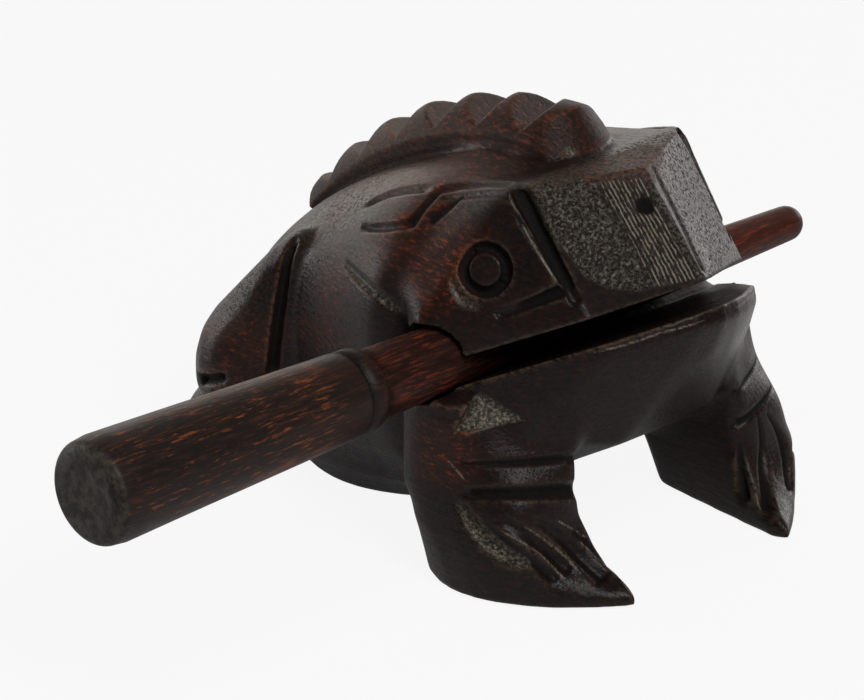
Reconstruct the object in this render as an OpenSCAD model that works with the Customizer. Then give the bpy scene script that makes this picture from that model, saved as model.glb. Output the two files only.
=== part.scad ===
// Frog guiro: a sitting frog carved from one block of wood, with a toothed ridge along
// its back and a turned stick stored in a hole across the back of its mouth.
// The frog faces -Y, its left side is +X, and it stands on z = 0.

/* [Frog] */
// Length from the lower lip to the rump
frog_l = 95; // [90:1:102]
// Radius of the arc that the back follows, seen from the side
back_r = 94.3; // [92:0.1:97]
// Height of the back over the floor, at its highest
back_h = 62.6; // [61:0.2:64]
// Width across the shoulders
shoulder_w = 65; // [60:1:70]
// Width across the hips, without the thighs
hip_w = 48; // [42:1:54]
// Height of the widest line of the body
waist_h = 34; // [28:1:38]

/* [Head] */
// Height of the nose over the floor
nose_h = 61.6; // [60:0.2:63]
// Height of the edge of the upper lip at the keel
lip_h = 47.6; // [47:0.1:49]
// How far the upper lip lies behind the lower lip
overbite = 2.4; // [0:0.1:4]
// Slope of the nose against the floor, in degrees
nose_rake = 47.3; // [42:0.1:52]
// How far each half of the nose turns back from square, in degrees
nose_sweep = 36.9; // [33:0.1:40]
// Width between the grooves that part the nose from the eyes
nose_w = 33; // [28:0.5:38]
// Width between the brow corners
brow_w = 36; // [34:0.2:40]
// Height of the brow corners over the floor
brow_h = 60.8; // [59:0.2:61]
// Distance from the lower lip back to the brow corners
brow_setback = 25; // [23:0.5:27]
// Distance from the lower lip back to the corners of the mouth
mouth_setback = 22; // [20:0.5:24]
// Width across the corners of the mouth
mouth_w = 52; // [48:0.5:54]
// Height of the chest over the floor, between the front legs
chest_h = 21; // [17:0.5:25]
// Width of the eye's ring groove, outside
eye_d = 7.7; // [6.5:0.1:9]
// Width of the round pupil inside the groove
pupil_d = 5.2; // [3.5:0.1:5.5]

/* [Mouth and hole] */
// Height of the mouth slot
slot_h = 4.1; // [3:0.1:5]
// Height of the middle of the slot at the lower lip
mouth_h = 46.3; // [45.5:0.1:47]
// Slope of the mouth slot, up to the front, in degrees
slot_tilt = 26; // [24:0.5:28]
// Diameter of the hole that the stick is stored in
hole_d = 11.6; // [11.4:0.1:14]
// Distance from the lower lip back to the hole
hole_setback = 31; // [29:0.5:33]
// Height of the hole's axis over the floor
hole_h = 34.4; // [33:0.1:36]

/* [Ridge] */
// Number of teeth
teeth = 7; // [5:1:9]
// Width of the ridge
ridge_w = 15; // [11:0.5:18]
// Radius of the arc that the tops of the teeth follow
crest_r = 72.1; // [71:0.1:74]
// Height of that arc over the floor, at its highest
crest_h = 67.1; // [66:0.1:68]
// Distance from the lower lip back to the top of that arc
crest_setback = 28.3; // [27:0.1:29]
// Depth of the notches between the teeth
notch_h = 3.4; // [2.5:0.1:4.5]
// Angle from one tooth to the next along the arc
tooth_step = 7.8; // [7.5:0.05:8]
// Angle of the first tooth from the top of the arc
first_tooth = 4; // [3.5:0.1:4.5]

/* [Legs] */
// Gap between the front feet
stance_w = 33; // [28:1:38]
// Width of a front foot
foot_w = 16; // [12:0.5:19]
// Length of a front foot
foot_l = 31.5; // [28:0.5:35]
// Distance from the lower lip back to the tip of the toes
toe_setback = -0.5; // [-2:0.5:4]
// Height of the wrist over the floor
wrist_h = 14; // [11:0.5:15]
// Distance from the lower lip back to the front of the wrist
wrist_setback = 10.5; // [9:0.5:13]
// Width across the hind feet
hind_w = 60; // [52:1:62]
// Length of a hind foot
hind_l = 21; // [17:0.5:24]
// Width of the belly where it stands on the floor, at its widest
belly_w = 32.5; // [30:0.5:36]
// Distance from the lower lip back to where the belly meets the floor
belly_setback = 44; // [42:0.5:46]

/* [Stick] */
// Length of the stick
stick_l = 148; // [140:1:160]
// Diameter of the striking end
stick_head_d = 16.8; // [14:0.1:19]
// Diameter of the grip at its shoulder
stick_grip_d = 13; // [12.2:0.1:14]
// Length of the grip, from the striking end to the shoulder
stick_grip_l = 54; // [48:1:60]
// Diameter of the neck beside the shoulder
stick_neck_d = 11.2; // [10:0.1:11.6]
// Diameter of the thin end
stick_tip_d = 5.6; // [4:0.1:7]
// How far the thin end stands out past the middle of the frog
stick_reach = 50.8; // [46:0.2:56]
// Clearance of the stick where it rests in the hole
clearance = 0.25; // [0.1:0.05:0.4]

/* [Hidden] */
$fn = 64;
wood = [0.17, 0.12, 0.1];
stick_wood = [0.3, 0.15, 0.09];
margin = 1;

// The y of a point that lies a given distance behind the lower lip
function back(setback) = setback - frog_l / 2;

// The arc of the back, and the height of the back over the floor with its rounded rump
arc_setback = 16.9;
arc_z = back_h - back_r;
rump_l = 19;
function back_z(setback) =
    let (rump = max(0, (setback - frog_l + rump_l) / rump_l))
    (arc_z + sqrt(pow(back_r, 2) - pow(setback - arc_setback, 2))) * sqrt(max(0, 1 - rump * rump));

// The middle of the mouth slot, seen from the side
function slot_z(setback) = mouth_h - tan(slot_tilt) * setback;

// The underside, which falls from the chest to where the belly meets the floor
function belly_z(setback) = chest_h * (belly_setback - setback) / (belly_setback - wrist_setback);

// A number that runs smoothly from a to b as t runs from 0 to 1
function mix(a, b, t) = a + (b - a) * t;
function ease(t) = t * t * (3 - 2 * t);
function ramp(t, from, to) = ease(max(0, min(1, (t - from) / (to - from))));

// Skins a stack of rings that all have the same number of points
module skin(rings) {
    n = len(rings[0]);
    last = len(rings) - 1;
    sides = [
        for (r = [0 : last - 1], i = [0 : n - 1])
            let (j = (i + 1) % n)
                each [[r * n + i, r * n + j, (r + 1) * n + j],
                      [r * n + i, (r + 1) * n + j, (r + 1) * n + i]]
    ];
    first_cap = [for (i = [n - 1 : -1 : 0]) i];
    last_cap = [for (i = [0 : n - 1]) last * n + i];
    polyhedron([for (ring = rings) each ring], concat(sides, [first_cap, last_cap]));
}

// Half outline of the body across: from the belly's edge round the side to the back
side_steps = 5;
back_steps = 8;
roundness = 2.3;
function half_section(edge_x, edge_z, side_x, side_z, top_z) = concat(
    [for (i = [0 : side_steps - 1])
        let (a = 90 * i / side_steps)
            [mix(edge_x, side_x, sin(a)), mix(edge_z, side_z, 1 - cos(a))]],
    [for (i = [0 : back_steps])
        let (a = 90 * i / back_steps)
            [side_x * pow(cos(a), 2 / roundness), mix(side_z, top_z, pow(sin(a), 2 / roundness))]]
);

// Both halves, as a ring of points at a given distance behind the lower lip
function ring(setback, half) = concat(
    [for (p = half) [p[0], back(setback), p[1]]],
    [for (i = [len(half) - 2 : -1 : 0]) [-half[i][0], back(setback), half[i][1]]]
);

torso_from = hole_setback - 2;
neck_l = 13;
torso_rings = 20;
rump_x = 17;
belly_middle = 64;
belly_l = 40;
function belly_edge(setback) =
    belly_w / 2 * max(0.2, 1 - pow(2 * (setback - belly_middle) / belly_l, 2));
function torso_ring(setback) =
    let (
        top = max(back_z(setback), 2 * margin),
        side = mix(shoulder_w, hip_w, ramp(setback, hole_setback, frog_l - hind_l)) / 2,
        tail = ramp(setback, frog_l - hind_l, frog_l),
        neck = mix(0.45, 1, sqrt(min(1, (setback - torso_from) / neck_l))),
        side_x = mix(side, rump_x, tail) * neck,
        side_z = min(mix(waist_h, waist_h / 2, tail), top * 0.6),
        edge_z = max(-margin, belly_z(setback)),
        edge_x = mix(belly_edge(setback), rump_x, tail) - margin
    )
    ring(setback, half_section(edge_x, edge_z, side_x, side_z, top));

module torso() {
    skin([for (i = [0 : torso_rings]) torso_ring(mix(torso_from, frog_l, i / torso_rings))]);
}

// A point of the nose: x across, z up, and y where the raked and swept face lies there
function nose_point(x, z) =
    [x, back(overbite + (z - lip_h) / tan(nose_rake) + abs(x) * tan(nose_sweep)), z];

// The height at which the nose meets the middle of the slot, at a given x
function lip_z(x) =
    let (
        setback = overbite - lip_h / tan(nose_rake) + abs(x) * tan(nose_sweep),
        k = tan(slot_tilt)
    )
    (slot_z(setback)) / (1 + k / tan(nose_rake));

// Corners of the head on its left side. The eye panel lies between three of them.
cheek_setback = hole_setback + 1;
cheek_inset = 1.5;
cheek_h = 10;
temple_setback = hole_setback + 9;
temple_drop = 13.8;
temple_inset = 5;
crown_drop = 2.8;
brow_corner = [brow_w / 2, back(brow_setback), brow_h];
lip_corner = nose_point(nose_w / 2, lip_z(nose_w / 2));
mouth_corner = [mouth_w / 2, back(mouth_setback), slot_z(mouth_setback)];
cheek_foot = [shoulder_w / 2 - cheek_inset, back(cheek_setback), slot_z(cheek_setback)];
cheek_corner = cheek_foot + [0, 0, cheek_h];
temple = [shoulder_w / 2 - temple_inset, back(temple_setback), back_z(temple_setback) - temple_drop];
crown = [brow_w / 2 - cheek_inset, back(temple_setback), back_z(temple_setback) - crown_drop];

// Small marks at a list of points and their mirror images, for a hull to span
module marks(points) {
    for (p = points, side = [-1, 1])
        translate([side * p[0], p[1], p[2]])
            cube(0.01, center = true);
}

module head() {
    hull()
        marks([
            nose_point(0, nose_h),
            nose_point(0, lip_z(0)),
            lip_corner,
            brow_corner,
            mouth_corner,
            cheek_foot,
            cheek_corner,
            temple,
            crown
        ]);
}

// A point of the eye panel, by its shares of the way to the brow and to the cheek
function panel_point(rise, run) =
    lip_corner + rise * (brow_corner - lip_corner) + run * (cheek_corner - lip_corner);

// Turns the Z axis to a given direction
module aim(direction) {
    rotate([0, acos(direction[2] / norm(direction)), atan2(direction[1], direction[0])])
        children();
}

// The ring groove that leaves the pupil standing
eye_depth = 0.9;
module eye_ring() {
    translate(panel_point(0.4, 0.435))
        aim(cross(cheek_corner - lip_corner, brow_corner - lip_corner))
            rotate_extrude()
                polygon([
                    [pupil_d / 2, eye_depth],
                    [pupil_d / 2, 0],
                    [(pupil_d + eye_d) / 4, -eye_depth],
                    [eye_d / 2, 0],
                    [eye_d / 2, eye_depth]
                ]);
}

// A straight gouge mark between two points
module gouge(from, to, depth) {
    translate(from)
        aim(to - from)
            cylinder(h = norm(to - from), r = depth, $fn = 8);
}

// The cuts on one side of the face: eye, lower lid, and the groove beside the nose
module face_cuts() {
    eye_ring();
    gouge(panel_point(0.09, 0.51), panel_point(0.29, 0.03), 0.7);
    gouge(brow_corner, panel_point(0.2, 0), 1);
}

// The lower jaw, from the middle of the slot down to the chest. Its lip is round in front.
lip_round = 7;
lip_sweep = 0.86;
lip_bulge = 1.6;
lip_half = nose_w / 2;
chin_w = 36;
chin_h = chest_h + 7;
chest_w = 19;
function jaw_setback(x) = sqrt(pow(lip_round, 2) + pow(lip_sweep * x, 2)) - lip_round;
function jaw_point(x, drop, tuck) =
    [x, back(jaw_setback(x) + tuck), slot_z(jaw_setback(x)) - drop];
armpit_w = 49;
armpit_setback = mouth_setback - 4.5;
armpit_h = chest_h + 3;
hinge_setback = hole_setback + 2;
module jaw() {
    hull()
        marks([
            for (x = [0 : lip_half / 4 : lip_half]) jaw_point(x, 0, 0),
            for (x = [0 : lip_half / 4 : lip_half]) jaw_point(x, slot_h, -lip_bulge),
            for (x = [0 : lip_half / 3 : lip_half]) jaw_point(x, 2.5 * slot_h, lip_bulge / 2),
            mouth_corner,
            [shoulder_w / 2, back(hinge_setback), slot_z(hinge_setback)],
            [shoulder_w / 2 - cheek_inset, back(hinge_setback), armpit_h],
            [chin_w / 2, back(jaw_setback(lip_half) + 4), chin_h],
            [armpit_w / 2, back(armpit_setback), armpit_h],
            [chest_w / 2, back(wrist_setback), chest_h],
            [stance_w / 2, back(hinge_setback), belly_z(hinge_setback) + margin]
        ]);
}

// Outlines of a front leg, seen from above, at the floor, the wrist and the shoulder.
// Each runs from the heel round the outside to the toe and back along the inside.
leg_inner = stance_w / 2;
leg_outer = leg_inner + foot_w;
heel_setback = toe_setback + foot_l;
sole_outline = [
    [leg_inner + 1.2, heel_setback],
    [leg_outer - 3, heel_setback + 1],
    [leg_outer + 0.5, heel_setback - foot_l * 0.22],
    [leg_outer - 0.5, heel_setback - foot_l * 0.45],
    [leg_outer - foot_w * 0.32, toe_setback + foot_l * 0.3],
    [leg_inner + foot_w * 0.32, toe_setback + foot_l * 0.12],
    [leg_inner - 1.3, toe_setback - 0.8],
    [leg_inner - 0.3, toe_setback + foot_l / 2]
];
wrist_outline = [
    [leg_inner - 4, heel_setback + 4],
    [leg_outer - 2, heel_setback + 4.5],
    [leg_outer + 1, heel_setback + 2],
    [leg_outer - 0.2, heel_setback - 9],
    [leg_outer - 2.5, wrist_setback + 2.5],
    [leg_inner + foot_w * 0.5, wrist_setback + 0.5],
    [leg_inner, wrist_setback],
    [leg_inner - 0.5, heel_setback - foot_l / 2]
];
shoulder_drift = [-8, 7.5];
shoulder_outline = [
    for (i = [0 : len(wrist_outline) - 1])
        wrist_outline[i] + (i == 4 || i == 5 ? shoulder_drift : [0, 0])
];
leg_middle = [leg_inner + foot_w / 2, wrist_setback + foot_l / 2];

// An outline with its corners cut off
corner_cut = 0.22;
function soften(outline) = [
    for (i = [0 : len(outline) - 1], t = [corner_cut, 1 - corner_cut])
        mix(outline[i], outline[(i + 1) % len(outline)], t)
];

// The leg's outline at a given height, drawn in on its front where a groove runs.
// The foot's outer side swells, and its inner side sweeps out to the blunt toe in a hollow.
// From the wrist up the grooves climb a little towards the outer front corner.
bulge = 0.8;
hollow = 2.6;
toe_blunt = 1.2;
swell = 1.4;
climb = 0.18;
outer_front = [0.72, -0.69];
function leg_ring(z, inset = 0) =
    let (
        drop = max(0, min(1, 1 - z / wrist_h)),
        lean = max(0, z - wrist_h) / (leg_top - wrist_h),
        upper = mix(wrist_outline, shoulder_outline, lean),
        outline = soften([
            for (i = [0 : len(upper) - 1])
                mix(upper[i], sole_outline[i], i < 5 ? pow(drop, bulge) : pow(min(1, toe_blunt * drop), hollow))
                    + (i == 3 || i == 4 ? swell * sin(180 * drop) * outer_front : [0, 0])
        ])
    )
    [for (p = outline)
        let (
            arm = p - leg_middle,
            front = ramp(-arm[1] / norm(arm), 0.1, 0.6),
            q = mix(p, leg_middle, front * inset / norm(arm)),
            rise = z > wrist_h ? climb * (1 - lean) * max(0, arm * outer_front) : 0
        )
            [q[0], back(q[1]), z + rise]];

// Two grooves run round the wrist, and the foot spreads out below them
leg_top = waist_h - 4;
wrist_grooves = [wrist_h + 1.6, wrist_h + 6.3];
groove_half = 1;
groove_depth = 0.9;
foot_rings = 6;
module front_leg() {
    skin(concat(
        [for (i = [0 : foot_rings]) leg_ring(mix(-margin, wrist_h - margin, pow(i / foot_rings, 1.4)))],
        [for (h = wrist_grooves, i = [-1 : 1])
            leg_ring(h + i * groove_half, i == 0 ? groove_depth : 0)],
        [leg_ring(leg_top)]
    ));
}

// A ball stretched to three half sizes
module egg(sizes, sides = 18, belts = 9) {
    pole = 88;
    skin([for (b = [0 : belts])
        let (a = mix(pole, -pole, b / belts))
            [for (i = [0 : sides - 1])
                let (t = 360 * i / sides)
                    [sizes[0] * cos(a) * cos(t), sizes[1] * cos(a) * sin(t), sizes[2] * sin(a)]]]);
}

// The thigh, a leaf that leans back from the groove in front of it, and the foot under it
thigh_top = [4, 4.2, 5];
thigh_top_at = [21, 67.5, 37.5];
thigh_low = [9.3, 9, 12.2];
thigh_low_at = [22.7, 77.4, 17];
hind_foot = [10.4, hind_l / 2, 12];
module hind_leg() {
    hull() {
        place(thigh_top_at)
            egg(thigh_top);
        place(thigh_low_at)
            egg(thigh_low);
    }
    place([hind_w / 2 - hind_foot[0], frog_l - hind_foot[1] - 2, 2])
        egg(hind_foot);
}

module thigh_groove() {
    gouge([24, back(66), 41], [27.5, back(67.3), 18], 1.6);
}

// Moves a shape to a place given by x, the distance behind the lower lip, and z
module place(at) {
    translate([at[0], back(at[1]), at[2]])
        children();
}

// The ridge: an arched rail sunk into the back, with notches cut across it
rail_depth = 12;
rail_end = first_tooth + tooth_step * (teeth - 1);
rail_start = -7;
front_lead = 2.8;
module ridge() {
    place([0, crest_setback, crest_h - crest_r])
        rotate([0, -90, 0])
            difference() {
                rotate([0, 0, rail_start])
                    rotate_extrude(angle = rail_end - rail_start)
                        rail_profile();
                for (i = [1 : teeth])
                    rotate([0, 0, first_tooth + tooth_step * (i - 0.5)])
                        notch();
                rotate([0, 0, first_tooth - front_lead])
                    front_slope();
            }
}

// What is cut away in front of the first tooth, round a cone that leans out to the base
front_round = 6;
front_slant = 0.62;
module front_slope() {
    base = crest_r - rail_depth;
    difference() {
        translate([base, -4 * front_round, -ridge_w])
            cube([rail_depth + margin, 5 * front_round, 2 * ridge_w]);
        translate([base, front_round, 0])
            rotate([0, 90, 0])
                cylinder(
                    h = rail_depth + 2 * margin,
                    r1 = front_round + front_slant * rail_depth,
                    r2 = front_round - 2 * margin
                );
    }
}

// Section of the rail, drawn beside the arc's axis: straight sides and a round top
crest_round = ridge_w / 2 + 1.2;
module rail_profile() {
    intersection() {
        translate([crest_r - rail_depth, -ridge_w / 2])
            square([rail_depth + margin, ridge_w]);
        translate([crest_r - crest_round, 0])
            circle(r = crest_round);
    }
}

// A notch, which slants a little across the ridge, as the knife was held
notch_half = crest_r * tan(tooth_step / 2) + margin;
notch_slant = 0.35;
module notch() {
    multmatrix([[1, 0, 0, 0], [0, 1, -notch_slant, 0], [0, 0, 1, 0], [0, 0, 0, 1]])
        linear_extrude(2 * ridge_w, center = true)
            polygon([
                [crest_r - notch_h, 0],
                [crest_r + margin, -notch_half],
                [crest_r + margin, notch_half]
            ]);
}

// The sawn mouth, from the hole out past the lips
module mouth_slot() {
    translate([0, back(hole_setback), slot_z(hole_setback)])
        rotate([-slot_tilt, 0, 0])
            translate([-shoulder_w, -2 * hole_setback, -slot_h / 2])
                cube([2 * shoulder_w, 2 * hole_setback, slot_h]);
}

module stick_hole() {
    translate([-shoulder_w, back(hole_setback), hole_h])
        rotate([0, 90, 0])
            cylinder(d = hole_d, h = 2 * shoulder_w);
}

module floor_cut() {
    translate([-shoulder_w, -frog_l, -frog_l])
        cube([2 * shoulder_w, 2 * frog_l, frog_l]);
}

module frog_body() {
    color(wood)
        difference() {
            union() {
                torso();
                head();
                jaw();
                ridge();
                for (side = [0, 1])
                    mirror([side, 0, 0]) {
                        front_leg();
                        hind_leg();
                    }
            }
            for (side = [0, 1])
                mirror([side, 0, 0]) {
                    face_cuts();
                    thigh_groove();
                }
            mouth_slot();
            stick_hole();
            floor_cut();
        }
}

// The stick, turned about its own axis, with its striking end at zero
stick_rim = 2.5;
shoulder_round = 1.2;
stick_groove = 0.5;
stick_groove_l = 3.4;
stick_neck_l = stick_l - stick_grip_l;
module scraper_stick() {
    drop = hole_d / 2 - clearance - seat_r();
    color(stick_wood)
        translate([stick_reach - stick_l, back(hole_setback), hole_h - drop])
            rotate([0, 90, 0])
                rotate_extrude()
                    stick_profile();
}

// Radius of the neck where it passes the near side of the frog
function seat_r() =
    let (along = stick_l - stick_reach - shoulder_w / 2 - stick_grip_l)
    mix(stick_neck_d, stick_tip_d, along / stick_neck_l) / 2;

module stick_profile() {
    head_r = stick_head_d / 2;
    grip_r = stick_grip_d / 2;
    neck_r = stick_neck_d / 2;
    tip_r = stick_tip_d / 2;
    groove_l = stick_grip_l - stick_groove_l;
    groove_r = mix(head_r, grip_r, groove_l / stick_grip_l);
    polygon(concat(
        [[0, 0], [head_r - stick_rim, 0]],
        [for (a = [-60 : 30 : 0])
            [head_r - stick_rim + stick_rim * cos(a), stick_rim + stick_rim * sin(a)]],
        [
            [groove_r, groove_l - stick_groove],
            [groove_r - stick_groove, groove_l],
            [groove_r, groove_l + stick_groove],
            [grip_r, stick_grip_l - shoulder_round],
            [neck_r, stick_grip_l]
        ],
        [for (a = [0 : 18 : 90]) [tip_r * cos(a), stick_l - tip_r + tip_r * sin(a)]]
    ));
}

frog_body();
scraper_stick();
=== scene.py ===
"""Looks of the frog guiro: a carved, dark-stained frog and its turned stick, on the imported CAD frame."""

import math

import bpy
import numpy as np
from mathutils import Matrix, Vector
from mathutils.kdtree import KDTree

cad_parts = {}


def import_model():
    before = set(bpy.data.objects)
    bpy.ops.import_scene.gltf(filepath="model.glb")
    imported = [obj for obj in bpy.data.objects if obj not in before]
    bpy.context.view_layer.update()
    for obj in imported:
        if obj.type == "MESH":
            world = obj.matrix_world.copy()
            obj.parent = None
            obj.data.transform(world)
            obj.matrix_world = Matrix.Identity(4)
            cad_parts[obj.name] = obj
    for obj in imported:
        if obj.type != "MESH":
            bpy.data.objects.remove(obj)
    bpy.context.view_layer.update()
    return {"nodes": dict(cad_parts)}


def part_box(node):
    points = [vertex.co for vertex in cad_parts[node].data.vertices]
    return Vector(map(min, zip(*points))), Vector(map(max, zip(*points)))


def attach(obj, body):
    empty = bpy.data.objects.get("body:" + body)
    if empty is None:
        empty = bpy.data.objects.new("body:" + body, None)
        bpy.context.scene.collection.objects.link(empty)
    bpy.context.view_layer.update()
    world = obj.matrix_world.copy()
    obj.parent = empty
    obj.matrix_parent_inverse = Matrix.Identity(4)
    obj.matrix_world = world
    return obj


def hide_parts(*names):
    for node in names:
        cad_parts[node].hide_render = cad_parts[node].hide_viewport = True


MM = 0.001

# Sizes shared with the CAD model, in millimetres
FROG_L = 95.0
BACK_ARC = (16.9, -31.7, 94.3)
CREST_ARC = (28.3, -5.0, 72.1)
RIDGE_H = 6.0
RIDGE_HALF = 7.5
HOLE = (31.0, 34.4, 5.8)
SLOT_Z = 46.3
SLOT_TILT = 26.0
SLOT_H = 4.1
EYE = (-23.4, 25.4, 49.0)
EYE_NORMAL = (-0.80, -0.50, 0.34)
PUPIL_R = 2.6
EYE_R = 4.1
STICK_GRIP_L = 54.0
STICK_GRIP_D = 13.0
STICK_NECK_D = 11.2
STICK_TIP_D = 5.6
STICK_HEAD_D = 16.8

# Places on the frog are given as x on its right side, distance behind the lower lip, and height, in
# millimetres. These lie on the front edge of the thigh.
THIGH_FRONT = [(-23.8, 67.6, 42.0), (-25.4, 67.7, 33.3), (-26.4, 68.0, 26.8), (-26.8, 68.3, 19.0)]

# The carver's cuts, darkened with painted shade: half width where a cut starts and where it ends, depth,
# and the places on its line
CUTS = [
    # Groove between nose and eye, widest at the top, with the thin line behind it
    (2.0, 0.9, 1.7, [(-17.0, 24.7, 60.6), (-16.6, 19.6, 53.6), (-16.2, 14.2, 46.7)]),
    (0.6, 0.6, 0.3, [(-18.9, 23.4, 57.1), (-17.7, 18.8, 51.2), (-16.7, 13.7, 45.3)]),
    # Wedges behind the brow
    (1.7, 0.8, 1.2, [(-23.8, 41.6, 51.6), (-21.0, 41.4, 53.8), (-18.1, 40.6, 55.8)]),
    (1.8, 0.5, 1.0, [(-22.3, 38.6, 52.6), (-18.5, 35.1, 56.7)]),
    # Lower lid
    (0.4, 1.5, 1.0, [(-24.1, 22.1, 42.5), (-20.4, 18.9, 44.5), (-16.9, 15.3, 47.0)]),
    # Notch in the heel of the thigh, and the deep groove in front of it
    (1.4, 1.0, 2.0, [(-32.5, 82.0, 15.5), (-31.4, 74.5, 18.2)]),
    (0.9, 1.2, 1.6, THIGH_FRONT),
]

# Soft cuts along the brow and the upper lid
BROWS = [
    (1.0, 1.2, 0.7, [(-18.2, 41.0, 55.7), (-16.9, 37.0, 57.6), (-16.5, 31.5, 59.1), (-16.4, 26.9, 60.3)]),
    (0.6, 0.8, 0.4, [(-19.3, 39.2, 55.1), (-18.7, 33.4, 57.1), (-18.8, 25.3, 59.5)]),
]

# Grooves across the wrist of the right front leg and of the left one, given as on the right side
RIGHT_WRIST = [
    (0.5, 0.9, 0.9, [(-31.6, 22.8, 20.8), (-29.6, 20.0, 21.1), (-25.7, 16.5, 21.2), (-16.6, 12.4, 20.4)]),
    (1.0, 1.6, 1.5, [(-31.4, 21.0, 16.5), (-27.9, 14.3, 17.7), (-22.6, 12.2, 16.9), (-16.5, 11.6, 15.4)]),
]
LEFT_WRIST = [
    (0.3, 0.7, 0.5, [(-28.6, 18.6, 21.2), (-25.7, 16.5, 21.2), (-20.9, 14.0, 20.8), (-16.6, 12.4, 20.4)]),
    (0.4, 0.9, 0.8, [(-28.6, 15.2, 17.6), (-22.6, 12.2, 16.9), (-16.5, 11.6, 15.4)]),
]

# Gouges that leave the toes of the right foot and of the left one, which are cut steeper
RIGHT_TOES = [
    (0.4, 1.6, 0.9, [(-31.6, 17.6, 13.4), (-30.3, 13.0, 10.4), (-27.6, 10.0, 7.7), (-25.2, 7.6, 4.6)]),
    (1.0, 1.8, 1.1, [(-30.1, 14.5, 13.9), (-27.6, 11.3, 11.2), (-24.4, 9.6, 8.2), (-23.0, 7.5, 5.5)]),
    (0.8, 2.3, 1.3, [(-26.0, 11.6, 13.6), (-21.2, 9.6, 8.9), (-19.5, 7.0, 6.0), (-18.3, 4.4, 3.4)]),
    (0.3, 1.2, 0.7, [(-21.8, 10.9, 12.3), (-19.2, 9.8, 9.6), (-17.0, 7.6, 7.2), (-15.8, 5.4, 5.0)]),
]
LEFT_TOES = [
    (0.3, 1.7, 1.6, [(-17.3, 11.0, 12.6), (-16.5, 10.0, 8.7), (-15.9, 8.6, 4.3)]),
    (0.3, 1.6, 1.8, [(-21.7, 11.5, 16.0), (-21.9, 10.5, 11.0), (-19.8, 7.8, 6.7), (-16.4, 4.2, 3.9)]),
    (0.3, 1.5, 1.6, [(-23.8, 11.3, 15.6), (-26.2, 11.0, 11.7), (-26.5, 9.5, 7.3), (-24.7, 7.0, 3.7)]),
]

# How dark the painted shade in the soft cuts, along the brows and between the right toes, is beside the
# others
SOFT_SHADE = 0.45

# How fast a cut fades in along its line, what it starts with, and how fast its painted shade fills it
CUT_FADE = 12
CUT_START = 0.35
SHADE_FILL = 1.6

# Scoops that taper out at both ends and leave the wood bare, speckled with painted glints, and a painted
# highlight under the eye: half width, depth, brightness and line, on the outer side of the front foot, under
# the eye and in the cheek
SCOOPS = [
    (1.6, 1.1, 1.0, [(-32.2, 22.4, 15.0), (-32.1, 19.5, 12.3), (-31.3, 14.4, 9.1), (-28.7, 10.1, 7.4)]),
    (1.0, 0.5, 0.5, [(-26.9, 29.4, 48.0), (-27.0, 27.1, 44.5), (-25.0, 24.2, 43.6)]),
    (0.9, 0.7, 1.0, [(-26.3, 53.1, 42.7), (-29.8, 42.8, 42.0), (-29.3, 36.0, 39.5)]),
]

# The share of a scoop's width that is left at its ends
SCOOP_END = 0.3

# Thin pale lines of wear and painted highlight: along the lower lip, and along the nose groove
CRESTS = [
    [
        (-18.6, 10.8, 38.1), (-16.6, 8.0, 39.3), (-12.8, 4.9, 40.5),
        (-9.4, 2.7, 41.7), (-5.5, 0.4, 42.5), (-0.8, -1.0, 43.1),
    ],
    [(-18.9, 23.4, 57.1), (-17.9, 18.9, 51.2), (-17.0, 14.0, 45.3)],
]

# How far from a pale line its distance is kept, and how much is added to it at the line's ends
CREST_REACH = 1.5
CREST_END = 0.4

# Pale lines of wear and painted highlight on the right front leg alone: the crests between the toes, and the
# bevel of the wrist
RIGHT_CRESTS = [
    [(-31.0, 16.0, 12.9), (-29.3, 11.8, 11.1), (-26.0, 9.8, 8.2), (-24.4, 7.8, 5.4), (-23.6, 5.8, 3.2)],
    [(-29.2, 13.0, 14.2), (-26.0, 10.9, 11.2), (-22.8, 9.4, 8.2), (-21.6, 7.2, 5.7), (-21.5, 5.4, 3.9)],
    [(-23.2, 10.9, 13.1), (-19.4, 10.1, 10.3), (-17.0, 9.0, 8.5)],
    [(-19.6, 9.9, 9.6), (-17.4, 6.7, 6.2), (-15.8, 3.5, 3.2)],
    [(-32.5, 24.5, 21.5), (-31.6, 20.9, 18.5)],
]

# The leaf-shaped swelling behind the brow: half width, height and middle line, and the soft creases over and
# under it, darkened with painted shade: half width, depth and line
SWELLING = (2.8, 1.3, [(-21.6, 53.0, 48.8), (-21.2, 48.0, 51.6), (-20.8, 43.0, 53.8)])
CREASES = [
    (1.3, 0.6, [(-19.7, 56.0, 48.7), (-18.3, 52.2, 51.6), (-18.1, 47.0, 54.1), (-18.1, 42.2, 55.6)]),
    (1.3, 0.8, [(-21.4, 54.5, 47.7), (-23.5, 50.5, 48.4), (-24.2, 44.9, 50.3), (-23.1, 40.6, 52.2)]),
]

# How fast the pale lines and creases fade in along their lines, and how dark the painted shade in a crease
# is
LINE_FADE = 6
CREASE_SHADE = 0.5

# The line just left of the nose's keel: half width, depth and line, and how dark its painted shade is
KEEL_LINE = (0.8, 0.3, [(2.5, 15.7, 60.5), (1.5, 9.4, 54.3), (0.5, 3.6, 48.6)])
KEEL_SHADE = 0.7

# The lower edge of the rough skin on the nose's right half, as x and z, and how it fades
NOSE_EDGE = [(-15.8, 53.0), (-14.6, 48.6), (-12.5, 46.9), (-9.0, 46.3), (0.0, 47.4)]
NOSE_EDGE_FADE = 0.8

# The flat cut on the shoulder, bare with painted glints: its corners, how far from it wood is cut, its soft
# edge and its sinking
FACET = [(-31.6, 23.6, 25.6), (-26.8, 22.9, 31.0), (-23.6, 17.0, 27.4)]
FACET_REACH = 3.5
FACET_EDGE = 0.5
FACET_SINK = 0.25

# The ring groove of an eye, darkened with painted shade: reach along the eye's axis, spare half width, soft
# edge and depth, and how far the pupil is domed
EYE_REACH = 4.0
RING_SPARE = 0.2
RING_EDGE = 0.7
RING_DEPTH = 1.0
PUPIL_DOME = 0.75
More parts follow.
